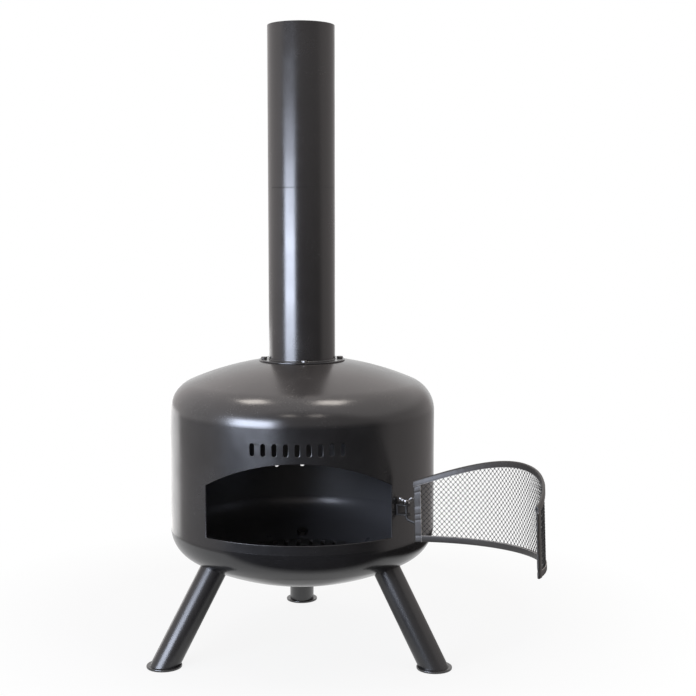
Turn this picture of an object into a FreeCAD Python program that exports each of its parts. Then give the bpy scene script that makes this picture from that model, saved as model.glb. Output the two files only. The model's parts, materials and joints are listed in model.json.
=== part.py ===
import FreeCAD, Part
import math
import os

# Outdoor fireplace in millimetres. The drum's axis is Z, the floor is at height 0, and the mouth faces -Y.
# An azimuth is an angle in degrees from the front towards +X, so a shape made at the front is turned by it.

# Drum: a rolled wall between two dished ends
drum_diameter = 500.0
sheet = 2.5
lower_seam_height = 236.0
wall_height = 220.0
dome_crown_radius = 540.0
bowl_crown_radius = 460.0
knuckle_radius = 60.0

# Mouth, with the row of air slots over it and two air holes in the back of the wall
mouth_width = 329.0
mouth_lip_above_seam = 17.0
mouth_side_height = 94.0
mouth_arch_rise = 48.5
slot_count = 9
slot_width = 8.0
slot_height = 22.0
slot_pitch = 20.0
slots_above_arch = 12.5
back_hole_diameter = 10.0
back_hole_spacing = 53.5
back_hole_offset = 36.3
back_holes_above_lip = 49.5

# Flue: two pipes of one size, a flange with its bolts, and the sleeve that joins the pipes
flue_diameter = 125.0
flue_sheet = 2.0
lower_pipe_length = 322.9
upper_pipe_length = 298.0
pipe_joint_gap = 0.4
pipe_edge_bevel = 0.6
sleeve_sheet = 1.5
sleeve_clearance = 0.3
sleeve_grip = 45.0
flange_diameter = 162.0
flange_thickness = 3.0
flange_seat_margin = 2.0
flange_bolt_azimuths = (5.0, 95.0, 185.0, 275.0)
flange_bolt_diameter = 6.0
flange_bolt_head_flats = 10.0
flange_bolt_head_height = 4.0
flange_nut_height = 5.0
flange_bolt_tail = 2.0
bolt_hole_clearance = 0.3
thread_clearance = 0.05

# Legs: splayed tubes with a plug in the top, one bolt from inside the bowl, and a round foot
leg_azimuths = {"left": -61.0, "right": 59.0, "back": 182.5}
leg_diameter = 50.0
leg_sheet = 2.0
leg_splay = 30.5
leg_seat_radius = 186.0
foot_diameter = 65.0
foot_thickness = 4.0
plug_length = 22.0
plug_below_bowl = 16.0
leg_bolt_diameter = 10.0
leg_bolt_head_flats = 17.0
leg_bolt_head_height = 6.4
leg_bolt_length = 42.0
leg_washer_diameter = 21.0
leg_washer_thickness = 2.0

# Door: folded strips round a curved mesh, measured shut, then swung open to the rest pose
door_gap = 3.0
door_strip = 1.5
mesh_thickness = 1.6
mesh_play = 0.1
door_bottom_overlap = 5.7
door_hinge_overlap = 6.5
door_free_overlap = 73.5
door_side_height = 107.6
door_arch_rise = 44.0
rail_width = 11.0
stile_width = 13.0
mesh_grip = 7.0
mesh_pitch = 21.0
mesh_wire = 2.4
door_open_angle = 122.5

# Hinge: a bracket with two ears, a bent rod that leans inwards at the top, and a wing nut
hinge_above_lip = 49.5
hinge_stand_off = 15.0
hinge_pin_beyond_door = 15.5
hinge_lean = 2.8
rod_diameter = 6.0
rod_running_clearance = 0.08
rod_bend_radius = 8.0
rod_drop_below_ear = 7.0
rod_tail_height = 20.0
rod_tail_lift = 10.0
rod_top_above_nut = 2.0
ear_gap = 14.0
ear_thickness = 3.0
ear_width = 16.0
bracket_width = 22.0
bracket_sheet = 3.0
nut_gap = 0.4
nut_hub_diameter = 12.0
nut_hub_height = 7.0
wing_reach = 12.5
wing_rise = 6.0
wing_thickness = 2.5
wing_root_height = 5.0

# Fire grate: bars in a stepped ring, a margin in from the wall, on feet that stand in the bowl
grate_margin = 110.0
grate_above_bowl = 8.55849
grate_ring_width = 14.0
grate_ring_height = 8.0
grate_ledge_width = 7.0
grate_bar_thickness = 5.0
grate_bar_width = 17.0
grate_bar_pitch = 24.0
grate_fit = 0.3
grate_foot_diameter = 10.0
grate_foot_count = 4
grate_foot_azimuth = 45.0

# Worked out from the sizes above
Vector = FreeCAD.Vector
UP = Vector(0, 0, 1)
FRONT = Vector(0, -1, 0)
AXIS_POINT = Vector(0, 0, 0)
drum_radius = drum_diameter / 2
upper_seam_height = lower_seam_height + wall_height
knuckle_reach = drum_radius - knuckle_radius
dome_crown_drop = math.sqrt((dome_crown_radius - knuckle_radius) ** 2 - knuckle_reach ** 2)
bowl_crown_drop = math.sqrt((bowl_crown_radius - knuckle_radius) ** 2 - knuckle_reach ** 2)
flue_radius = flue_diameter / 2
flue_bore = flue_radius - flue_sheet
flange_radius = flange_diameter / 2
seat_radius = flange_radius + flange_seat_margin
seat_height = upper_seam_height + math.sqrt(dome_crown_radius ** 2 - seat_radius ** 2) - dome_crown_drop
flange_bolt_circle = (flue_radius + flange_radius) / 2
pipe_joint_height = seat_height + lower_pipe_length
lip_height = lower_seam_height + mouth_lip_above_seam
arch_height = lip_height + mouth_side_height + mouth_arch_rise
bowl_crown_height = lower_seam_height + bowl_crown_drop
leg_radius = leg_diameter / 2
door_inner_radius = drum_radius + door_gap
mesh_inner_radius = door_inner_radius + door_strip + mesh_play
mesh_radius = mesh_inner_radius + mesh_thickness / 2
door_outer_radius = mesh_inner_radius + mesh_thickness + mesh_play + door_strip
door_bottom_height = lip_height - door_bottom_overlap
mouth_half_azimuth = math.degrees(math.asin(mouth_width / 2 / drum_radius))
door_hinge_azimuth = mouth_half_azimuth + math.degrees(door_hinge_overlap / mesh_radius)
door_free_azimuth = -mouth_half_azimuth - math.degrees(door_free_overlap / mesh_radius)
door_middle_azimuth = (door_hinge_azimuth + door_free_azimuth) / 2
door_half_angle = (door_hinge_azimuth - door_free_azimuth) / 2
stile_angle = math.degrees(stile_width / mesh_radius)
pin_radius = drum_radius + hinge_stand_off
pin_azimuth = door_hinge_azimuth + math.degrees(hinge_pin_beyond_door / pin_radius)
hinge_height = lip_height + hinge_above_lip
rod_radius = rod_diameter / 2
ear_top = ear_gap / 2 + ear_thickness
grate_radius = drum_radius - grate_margin


def polar(radius, azimuth, height):
    """Point at a radius and azimuth round the drum's axis."""
    angle = math.radians(azimuth)
    return Vector(radius * math.sin(angle), -radius * math.cos(angle), height)


def turned(shape, azimuth):
    """Copy of a shape made at the front, turned to an azimuth."""
    copy = shape.copy()
    copy.rotate(AXIS_POINT, UP, azimuth)
    return copy


def placed(shape, origin, direction):
    """Copy of a shape made along Z, moved so that Z runs along a direction from an origin."""
    copy = shape.copy()
    copy.Placement = FreeCAD.Placement(origin, FreeCAD.Rotation(UP, direction))
    return copy


def tube(outer_radius, inner_radius, low, high):
    """Upright tube on the drum's axis."""
    length = high - low
    outer = Part.makeCylinder(outer_radius, length, Vector(0, 0, low))
    return outer.cut(Part.makeCylinder(inner_radius, length, Vector(0, 0, low)))


def sector(outer_radius, inner_radius, low, high, first_azimuth, last_azimuth):
    """Part of an upright tube between two azimuths."""
    corners = [
        Vector(0, -inner_radius, low),
        Vector(0, -outer_radius, low),
        Vector(0, -outer_radius, high),
        Vector(0, -inner_radius, high),
    ]
    section = Part.Face(Part.makePolygon(corners + corners[:1]))
    return turned(section.revolve(AXIS_POINT, UP, last_azimuth - first_azimuth), first_azimuth)


def hexagon(across_flats, height):
    """Hexagonal prism standing on the origin."""
    corner_radius = across_flats / math.sqrt(3)
    corners = [Vector(corner_radius, 0, 0)]
    for step in range(1, 7):
        angle = math.radians(60 * step)
        corners.append(Vector(corner_radius * math.cos(angle), corner_radius * math.sin(angle), 0))
    return Part.Face(Part.makePolygon(corners)).extrude(UP * height)


def hex_bolt(diameter, head_flats, head_height, length):
    """Bolt along Z with its head above the origin and its shank below."""
    shank = Part.makeCylinder(diameter / 2, length, Vector(0, 0, -length))
    return hexagon(head_flats, head_height).fuse(shank).removeSplitter()


def head_curve(crown_radius, crown_drop, inset, inner_radius, side):
    """Section of a dished end from its rim to a radius. The inset gives the inside of the sheet."""
    crown = crown_radius - inset
    knuckle = knuckle_radius - inset
    knuckle_turn = math.atan2(crown_drop, knuckle_reach)
    crown_angles = (math.pi / 2 - knuckle_turn, math.asin(inner_radius / crown))

    def knuckle_point(angle):
        return Vector(knuckle_reach + knuckle * math.cos(angle), 0, side * knuckle * math.sin(angle))

    def crown_point(angle):
        return Vector(crown * math.sin(angle), 0, side * (crown * math.cos(angle) - crown_drop))

    knuckle_stops = (0, knuckle_turn / 2, knuckle_turn)
    crown_stops = (crown_angles[0], sum(crown_angles) / 2, crown_angles[1])
    knuckle_arc = Part.Arc(*[knuckle_point(angle) for angle in knuckle_stops])
    crown_arc = Part.Arc(*[crown_point(angle) for angle in crown_stops])
    return [knuckle_arc.toShape(), crown_arc.toShape()]


def revolved(edges):
    """Solid made by turning a closed section round the drum's axis."""
    section = Part.Face(Part.Wire(Part.__sortEdges__(edges)))
    return section.revolve(AXIS_POINT, UP, 360)


def ends(edges):
    """First and last point of a chain of section edges."""
    return edges[0].Vertexes[0].Point, edges[-1].Vertexes[-1].Point


def arch_profile(half_width, low, side, rise):
    """Upright face at Y = 0 with straight sides and an arched top."""
    corners = [
        Vector(-half_width, 0, side),
        Vector(-half_width, 0, low),
        Vector(half_width, 0, low),
        Vector(half_width, 0, side),
    ]
    arch = Part.Arc(corners[-1], Vector(0, 0, side + rise), corners[0]).toShape()
    return Part.Face(Part.Wire(Part.makePolygon(corners).Edges + [arch]))


def air_slot():
    """Upright round-ended bar that cuts one air slot at the front of the wall."""
    half_width = slot_width / 2
    straight = slot_height - slot_width
    depth = 2 * sheet
    outside = -drum_radius - sheet / 2
    slot = Part.makeBox(slot_width, depth, straight, Vector(-half_width, outside, half_width))
    for centre in (half_width, half_width + straight):
        slot = slot.fuse(Part.makeCylinder(half_width, depth, Vector(0, outside, centre), -FRONT))
    slot = slot.removeSplitter()
    slot.translate(UP * (arch_height + slots_above_arch))
    return slot


def drum_wall():
    """Rolled wall with the arched mouth, the air slots over it and the air holes at the back."""
    wall = tube(drum_radius, drum_radius - sheet, lower_seam_height, upper_seam_height)
    mouth = arch_profile(mouth_width / 2, lip_height, lip_height + mouth_side_height, mouth_arch_rise)
    cuts = [mouth.extrude(FRONT * drum_diameter)]
    slot = air_slot()
    for index in range(slot_count):
        shift = (index - (slot_count - 1) / 2) * slot_pitch
        cuts.append(turned(slot, math.degrees(shift / drum_radius)))
    for shift in (-back_hole_spacing / 2, back_hole_spacing / 2):
        place = Vector(shift - back_hole_offset, 0, lip_height + back_holes_above_lip)
        cuts.append(Part.makeCylinder(back_hole_diameter / 2, drum_diameter, place, -FRONT))
    return wall.cut(cuts)


def top_dome():
    """Upper dished end with a flat seat, a flue hole and bolt holes under the flange."""
    seat_rise = seat_height - upper_seam_height
    inner_crown = dome_crown_radius - sheet
    inner_seat = math.sqrt(inner_crown ** 2 - (seat_rise - sheet + dome_crown_drop) ** 2)
    outer = head_curve(dome_crown_radius, dome_crown_drop, 0, seat_radius, 1)
    inner = head_curve(dome_crown_radius, dome_crown_drop, sheet, inner_seat, 1)
    hole_radius = flue_bore - flue_sheet / 2
    seat = [
        ends(outer)[1],
        Vector(hole_radius, 0, seat_rise),
        Vector(hole_radius, 0, seat_rise - sheet),
        ends(inner)[1],
    ]
    rim = Part.makeLine(ends(outer)[0], ends(inner)[0])
    dome = revolved(outer + inner + Part.makePolygon(seat).Edges + [rim])
    dome.translate(UP * upper_seam_height)
    return dome.cut([flange_bolt_hole(azimuth) for azimuth in flange_bolt_azimuths])


def bowl_curve(inset):
    """Section of the bowl from its rim to its middle."""
    return head_curve(bowl_crown_radius, bowl_crown_drop, inset, 0, -1)


def bowl_inside_height(radius):
    """Height of the bowl's inner face at a radius on its crown."""
    return bowl_crown_height - math.sqrt((bowl_crown_radius - sheet) ** 2 - radius ** 2)


def bowl_filled():
    """Space that the bowl's outer face encloses, up to the lower seam."""
    outer = bowl_curve(0)
    rim, bottom = ends(outer)
    block = revolved(outer + [Part.makeLine(bottom, AXIS_POINT), Part.makeLine(AXIS_POINT, rim)])
    block.translate(UP * lower_seam_height)
    return block


def bottom_bowl():
    """Lower dished end with a bolt hole over each leg."""
    outer = bowl_curve(0)
    inner = bowl_curve(sheet)
    joins = [Part.makeLine(start, stop) for start, stop in zip(ends(outer), ends(inner))]
    bowl = revolved(outer + inner + joins)
    bowl.translate(UP * lower_seam_height)
    hole = leg_bolt_line(leg_bolt_diameter / 2 + bolt_hole_clearance)
    return bowl.cut([turned(hole, azimuth) for azimuth in leg_azimuths.values()])


def flange_bolt_hole(azimuth):
    """Upright hole through the flange and the dome's seat."""
    low = seat_height - 2 * sheet
    radius = flange_bolt_diameter / 2 + bolt_hole_clearance
    length = 2 * sheet + 2 * flange_thickness
    return Part.makeCylinder(radius, length, polar(flange_bolt_circle, azimuth, low))


def chimney_flange():
    """Flat ring round the foot of the lower pipe."""
    ring = tube(flange_radius, flue_radius, seat_height, seat_height + flange_thickness)
    return ring.cut([flange_bolt_hole(azimuth) for azimuth in flange_bolt_azimuths])


def on_bolt_circle(shape, height):
    """Copies of an upright fastener at each place of the flange's bolts."""
    copies = []
    for azimuth in flange_bolt_azimuths:
        copies.append(placed(shape, polar(flange_bolt_circle, azimuth, height), UP))
    return Part.makeCompound(copies)


def flange_bolts():
    """Four hex bolts with their heads on the flange."""
    length = flange_thickness + sheet + flange_nut_height + flange_bolt_tail
    bolt = hex_bolt(flange_bolt_diameter, flange_bolt_head_flats, flange_bolt_head_height, length)
    return on_bolt_circle(bolt, seat_height + flange_thickness)


def flange_nuts():
    """Four nuts under the dome's seat."""
    bore = Part.makeCylinder(flange_bolt_diameter / 2 + thread_clearance, flange_nut_height)
    nut = hexagon(flange_bolt_head_flats, flange_nut_height).cut(bore)
    return on_bolt_circle(nut, seat_height - sheet - flange_nut_height)


def flue_pipe(low, length):
    """Upright flue pipe with its outer edges broken at both ends."""
    high = low + length
    rim_radius = flue_radius - pipe_edge_bevel
    section = [
        Vector(flue_bore, 0, low),
        Vector(rim_radius, 0, low),
        Vector(flue_radius, 0, low + pipe_edge_bevel),
        Vector(flue_radius, 0, high - pipe_edge_bevel),
        Vector(rim_radius, 0, high),
        Vector(flue_bore, 0, high),
    ]
    return revolved(Part.makePolygon(section + section[:1]).Edges)


def chimney_lower():
    """Lower flue pipe, welded into the flange and standing on the dome's seat."""
    return flue_pipe(seat_height, lower_pipe_length)


def chimney_upper():
    """Upper flue pipe, open at the top."""
    return flue_pipe(pipe_joint_height + pipe_joint_gap, upper_pipe_length)


def chimney_sleeve():
    """Spigot held in the upper pipe, with a looser lower half that slips into the lower pipe."""
    bore = flue_bore - sleeve_clearance - sleeve_sheet
    step = pipe_joint_height + pipe_joint_gap
    held = tube(flue_bore, bore, step, step + sleeve_grip)
    loose = tube(flue_bore - sleeve_clearance, bore, step - sleeve_grip, step)
    return held.fuse(loose).removeSplitter()


def leg_seat():
    """Point on the bowl's outer face that a leg's axis meets, for a leg at the front."""
    height = bowl_crown_height - math.sqrt(bowl_crown_radius ** 2 - leg_seat_radius ** 2)
    return Vector(0, -leg_seat_radius, height)


def leg_direction():
    """Direction down a leg at the front."""
    splay = math.radians(leg_splay)
    return Vector(0, -math.sin(splay), -math.cos(splay))


def bowl_normal():
    """Outward normal of the bowl at the leg's seat."""
    return (leg_seat() - Vector(0, 0, bowl_crown_height)).normalize()


def leg_tube():
    """Leg at the front, cut to the bowl at the top and level with its foot at the bottom."""
    start = leg_seat() - leg_direction() * leg_diameter
    length = leg_diameter + (leg_seat().z + leg_diameter) / math.cos(math.radians(leg_splay))
    outer = Part.makeCylinder(leg_radius, length, start, leg_direction())
    bore = Part.makeCylinder(leg_radius - leg_sheet, length, start, leg_direction())
    floor_block = Part.makeBox(drum_diameter, drum_diameter, drum_diameter)
    floor_corner = Vector(-drum_radius, -drum_radius, foot_thickness - drum_diameter)
    floor_block.translate(leg_foot() + floor_corner)
    return outer.cut([bore, bowl_filled(), floor_block])


def leg_foot():
    """Point on the floor under the axis of a leg at the front."""
    seat = leg_seat()
    return Vector(0, -leg_seat_radius - seat.z * math.tan(math.radians(leg_splay)), 0)


def foot():
    """Round foot plate under a leg at the front."""
    return Part.makeCylinder(foot_diameter / 2, foot_thickness, leg_foot())


def leg_bolt_line(radius):
    """Long round bar along the axis of a leg bolt at the front, to cut holes with."""
    start = leg_seat() - bowl_normal() * leg_bolt_length
    return Part.makeCylinder(radius, 3 * leg_bolt_length, start, bowl_normal())


def leg_plug():
    """Threaded plug welded into the top of a leg at the front."""
    start = leg_seat() + leg_direction() * plug_below_bowl
    plug = Part.makeCylinder(leg_radius - leg_sheet, plug_length, start, leg_direction())
    return plug.cut(leg_bolt_line(leg_bolt_diameter / 2 + thread_clearance))


def leg_washer_seat():
    """Distance along the bowl's normal from its outer face to the underside of a washer inside it."""
    sag = (leg_washer_diameter / 2) ** 2 / (2 * (bowl_crown_radius - sheet))
    return sheet + sag


def leg_bolts():
    """One hex bolt from inside the bowl into each leg's plug."""
    bolt = hex_bolt(leg_bolt_diameter, leg_bolt_head_flats, leg_bolt_head_height, leg_bolt_length)
    origin = leg_seat() - bowl_normal() * (leg_washer_seat() + leg_washer_thickness)
    bolt = placed(bolt, origin, -bowl_normal())
    return Part.makeCompound([turned(bolt, azimuth) for azimuth in leg_azimuths.values()])


def leg_washers():
    """Washers under the heads of the leg bolts."""
    bore = leg_bolt_diameter / 2 + thread_clearance
    washer = tube(leg_washer_diameter / 2, bore, 0, leg_washer_thickness)
    washer = placed(washer, leg_seat() - bowl_normal() * leg_washer_seat(), -bowl_normal())
    return Part.makeCompound([turned(washer, azimuth) for azimuth in leg_azimuths.values()])


def pin_axis():
    """Direction up the hinge pin, which leans towards the drum at the top."""
    lean = math.radians(hinge_lean)
    return polar(-math.sin(lean), pin_azimuth, math.cos(lean))


def pin_point(rise):
    """Point on the hinge pin's axis, counted up from the middle of the bracket."""
    return polar(pin_radius, pin_azimuth, hinge_height) + pin_axis() * rise


def at_pin(shape):
    """Shape made with Z up the pin and -Y away from the drum, moved to the hinge."""
    copy = shape.copy()
    copy.rotate(AXIS_POINT, Vector(1, 0, 0), -hinge_lean)
    copy.rotate(AXIS_POINT, UP, pin_azimuth)
    copy.translate(pin_point(0))
    return copy


def opened(shape):
    """Shape of the shut door, swung about the pin to the open rest pose."""
    copy = shape.copy()
    copy.rotate(pin_point(0), pin_axis(), door_open_angle)
    return copy


def hinge_bracket():
    """Folded strip welded to the wall, with two ears that the rod turns in."""
    back = Part.makeBox(bracket_width, bracket_sheet + sheet, ear_gap + 2 * ear_thickness)
    ear_reach = hinge_stand_off - bracket_sheet
    back.translate(Vector(-bracket_width / 2, ear_reach, -ear_top))
    ear = Part.makeBox(ear_width, ear_reach, ear_thickness, Vector(-ear_width / 2, 0, 0))
    ear = ear.fuse(Part.makeCylinder(ear_width / 2, ear_thickness))
    solids = []
    for low in (-ear_top, ear_gap / 2):
        level = ear.copy()
        level.translate(UP * low)
        solids.append(level)
    hole_radius = rod_radius + rod_running_clearance
    hole = Part.makeCylinder(hole_radius, 4 * ear_top, Vector(0, 0, -2 * ear_top))
    bracket = at_pin(back.fuse(solids).removeSplitter().cut(hole))
    drum = Part.makeCylinder(drum_radius, wall_height, Vector(0, 0, lower_seam_height))
    return bracket.cut(drum)


def rounded_path(points, radius):
    """Wire of straight runs joined by arcs of one radius."""
    edges = []
    start = points[0]
    for before, corner, after in zip(points, points[1:], points[2:]):
        back = (before - corner).normalize()
        ahead = (after - corner).normalize()
        half = back.getAngle(ahead) / 2
        setback = radius / math.tan(half)
        enter = corner + back * setback
        leave = corner + ahead * setback
        bisector = (back + ahead).normalize()
        middle = corner + bisector * (radius / math.sin(half) - radius)
        edges.append(Part.makeLine(start, enter))
        edges.append(Part.Arc(enter, middle, leave).toShape())
        start = leave
    edges.append(Part.makeLine(start, points[-1]))
    return Part.Wire(edges)


def nut_low():
    """Height of the wing nut's underside above the middle of the bracket."""
    return ear_top + nut_gap


def hinge_rod():
    """Bent rod: the pin through both ears, a slanting run and a tail on the door's hinge stile."""
    tail_azimuth = door_hinge_azimuth - stile_angle / 2
    tail_low = door_bottom_height + rod_tail_lift
    tail_radius = door_outer_radius + rod_radius
    points = [
        pin_point(nut_low() + nut_hub_height + rod_top_above_nut),
        pin_point(-ear_top - rod_drop_below_ear),
        polar(tail_radius, tail_azimuth, tail_low + rod_tail_height),
        polar(tail_radius, tail_azimuth, tail_low),
    ]
    section = Part.Wire(Part.makeCircle(rod_radius, points[0], -pin_axis()))
    rod = rounded_path(points, rod_bend_radius).makePipeShell([section], True, True)
    return opened(rod)


def hinge_wing_nut():
    """Wing nut on the top of the rod."""
    hub = Part.makeCylinder(nut_hub_diameter / 2, nut_hub_height)
    tip_radius = wing_root_height / 2
    tip = Vector(wing_reach - tip_radius, wing_thickness / 2, wing_root_height + wing_rise - tip_radius)
    root = Vector(0, wing_thickness / 2, tip_radius)
    slope = (tip - root).normalize()
    across = slope.cross(FRONT) * tip_radius
    sides = Part.makePolygon([tip + across, root + across, root - across, tip - across])
    cap = Part.Arc(tip - across, tip + slope * tip_radius, tip + across).toShape()
    wing = Part.Face(Part.Wire(sides.Edges + [cap])).extrude(FRONT * wing_thickness)
    bore_start = Vector(0, 0, -nut_hub_height)
    bore = Part.makeCylinder(rod_radius + thread_clearance, 3 * nut_hub_height, bore_start)
    other_wing = wing.copy()
    other_wing.rotate(AXIS_POINT, UP, 180)
    nut = hub.fuse([wing, other_wing]).removeSplitter().cut(bore)
    nut.translate(UP * nut_low())
    return opened(at_pin(nut))


def door_outline(drop):
    """Tall prism under the door's arched top, lowered by a drop, square to the middle of the door."""
    half_width = mesh_radius * math.sin(math.radians(door_half_angle))
    side = door_bottom_height + door_side_height
    curve_radius = (half_width ** 2 + door_arch_rise ** 2) / (2 * door_arch_rise)
    centre = Vector(0, 0, side + door_arch_rise - curve_radius - drop)
    return turned(Part.makeCylinder(curve_radius, drum_diameter, centre, FRONT), door_middle_azimuth)


def door_shell(outer_radius, inner_radius, first_azimuth, last_azimuth):
    """Curved slab of the door between two radii and two azimuths, taller than the door."""
    high = door_bottom_height + door_side_height + door_arch_rise
    return sector(outer_radius, inner_radius, door_bottom_height, high, first_azimuth, last_azimuth)


def groove(first_azimuth, last_azimuth):
    """Space inside a folded strip that the mesh's edge sits in."""
    outer_radius = door_outer_radius - door_strip
    return door_shell(outer_radius, door_inner_radius + door_strip, first_azimuth, last_azimuth)


def door_stile(first_azimuth, last_azimuth, fold_azimuth, inner_azimuth):
    """Upright strip at one end of the door, folded over the mesh's end, up to the top rail."""
    slab = door_shell(door_outer_radius, door_inner_radius, first_azimuth, last_azimuth)
    stile = slab.common(door_outline(rail_width))
    limits = sorted((fold_azimuth, inner_azimuth))
    return opened(stile.cut(groove(*limits)))


def door_hinge_stile():
    """Strip at the hinge end of the door."""
    inner = door_hinge_azimuth - stile_angle
    fold = door_hinge_azimuth - math.degrees(door_strip / mesh_radius)
    return door_stile(inner, door_hinge_azimuth, fold, inner)


def door_free_stile():
    """Strip at the free end of the door."""
    inner = door_free_azimuth + stile_angle
    fold = door_free_azimuth + math.degrees(door_strip / mesh_radius)
    return door_stile(door_free_azimuth, inner, fold, inner)


def rail_azimuths():
    """Azimuths between the two stiles."""
    return door_free_azimuth + stile_angle, door_hinge_azimuth - stile_angle


def door_top_rail():
    """Arched strip folded over the top edge of the mesh, along the whole door."""
    whole = (door_free_azimuth, door_hinge_azimuth)
    band = door_shell(door_outer_radius, door_inner_radius, *whole)
    band = band.common(door_outline(0)).cut(door_outline(rail_width))
    return opened(band.cut(groove(*whole).common(door_outline(door_strip))))


def door_bottom_rail():
    """Level strip folded over the lower edge of the mesh."""
    top = door_bottom_height + rail_width
    rail = sector(door_outer_radius, door_inner_radius, door_bottom_height, top, *rail_azimuths())
    above_fold = groove(*rail_azimuths())
    above_fold.translate(UP * door_strip)
    return opened(rail.cut(above_fold))


def mesh_gaps():
    """Diamond gaps of the mesh, trimmed to the space inside the door's frame."""
    first, last = rail_azimuths()
    low = door_bottom_height + rail_width
    high = door_bottom_height + door_side_height + door_arch_rise - rail_width
    window = sector(door_outer_radius, door_inner_radius, low, high, first, last)
    window = window.common(door_outline(rail_width))
    half = mesh_pitch / 2 - mesh_wire / math.sqrt(2)
    corners = [Vector(half, 0, 0), Vector(0, 0, half), Vector(-half, 0, 0), Vector(0, 0, -half)]
    diamond = Part.Face(Part.makePolygon(corners + corners[:1])).extrude(FRONT * 3 * mesh_thickness)
    diamond.translate(FRONT * (mesh_inner_radius - mesh_thickness))
    half_step = math.degrees(mesh_pitch / 2 / mesh_radius)
    gaps = []
    for row in range(int((high - low) / mesh_pitch * 2) + 2):
        height = low + row * mesh_pitch / 2
        for column in range(int((last - first) / half_step) + 2):
            if (row + column) % 2:
                continue
            gap = turned(diamond, first + column * half_step)
            gap.translate(UP * height)
            gaps.append(gap)
    return Part.makeCompound(gaps).common(window)


def door_mesh():
    """Curved sheet of diamond mesh, held in the grooves of the frame."""
    edge = door_strip + rail_width - mesh_grip
    edge_angle = math.degrees((door_strip + stile_width - mesh_grip) / mesh_radius)
    shell = door_shell(
        mesh_inner_radius + mesh_thickness,
        mesh_inner_radius,
        door_free_azimuth + edge_angle,
        door_hinge_azimuth - edge_angle,
    )
    below_edge = Part.makeCylinder(drum_diameter, edge, Vector(0, 0, door_bottom_height))
    panel = shell.common(door_outline(edge)).cut(below_edge)
    return opened(panel.cut(mesh_gaps()))


def grate_low():
    """Height of the grate ring's underside, a clearance above the bowl at the ring's rim."""
    return bowl_inside_height(grate_radius) + grate_above_bowl


def grate_top():
    """Height of the grate's upper face."""
    return grate_low() + grate_ring_height


def grate_ring():
    """Stepped ring round the fire grate, with a ledge under the bars."""
    ledge_height = grate_top() - grate_bar_thickness
    inner = grate_radius - grate_ring_width
    ring = tube(grate_radius, inner, grate_low(), grate_top())
    step_radius = inner + grate_ledge_width
    return ring.cut(Part.makeCylinder(step_radius, grate_bar_thickness, Vector(0, 0, ledge_height)))


def grate_bars():
    """Flat bars across the grate, front to back, on the ring's ledge."""
    reach = grate_radius - grate_ring_width + grate_ledge_width - grate_fit
    low = grate_top() - grate_bar_thickness
    disc = Part.makeCylinder(reach, grate_bar_thickness, Vector(0, 0, low))
    side_count = int((reach - grate_bar_width / 2) / grate_bar_pitch)
    bars = []
    for index in range(-side_count, side_count + 1):
        corner = Vector(index * grate_bar_pitch - grate_bar_width / 2, -grate_radius, low)
        bar = Part.makeBox(grate_bar_width, 2 * grate_radius, grate_bar_thickness, corner)
        bars.append(bar.common(disc))
    return Part.makeCompound(bars)


def grate_feet():
    """Round feet under the ring, standing in the bowl."""
    high = grate_low()
    foot_radius = grate_foot_diameter / 2
    foot_circle = grate_radius - grate_ring_width / 2
    low = bowl_inside_height(foot_circle + foot_radius) + grate_fit
    feet = []
    for index in range(grate_foot_count):
        azimuth = grate_foot_azimuth + 360 * index / grate_foot_count
        feet.append(Part.makeCylinder(foot_radius, high - low, polar(foot_circle, azimuth, low)))
    return Part.makeCompound(feet)


def all_nodes():
    """Every sub-part by its name."""
    nodes = {
        "drum_wall": drum_wall(),
        "top_dome": top_dome(),
        "bottom_bowl": bottom_bowl(),
        "chimney_flange": chimney_flange(),
        "flange_bolts": flange_bolts(),
        "flange_nuts": flange_nuts(),
        "chimney_lower": chimney_lower(),
        "chimney_upper": chimney_upper(),
        "chimney_sleeve": chimney_sleeve(),
        "leg_bolts": leg_bolts(),
        "leg_washers": leg_washers(),
        "hinge_bracket": hinge_bracket(),
        "hinge_rod": hinge_rod(),
        "hinge_wing_nut": hinge_wing_nut(),
        "door_hinge_stile": door_hinge_stile(),
        "door_free_stile": door_free_stile(),
        "door_top_rail": door_top_rail(),
        "door_bottom_rail": door_bottom_rail(),
        "door_mesh": door_mesh(),
        "grate_ring": grate_ring(),
        "grate_bars": grate_bars(),
        "grate_feet": grate_feet(),
    }
    for side, azimuth in leg_azimuths.items():
        nodes["leg_" + side] = turned(leg_tube(), azimuth)
        nodes["leg_plug_" + side] = turned(leg_plug(), azimuth)
        nodes["foot_" + side] = turned(foot(), azimuth)
    return nodes


os.makedirs("parts", exist_ok=True)
for name, shape in all_nodes().items():
    shape.exportStep("parts/" + name + ".step")
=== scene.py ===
import json
import math

import bmesh
import bpy
from mathutils import Matrix, Vector


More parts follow.
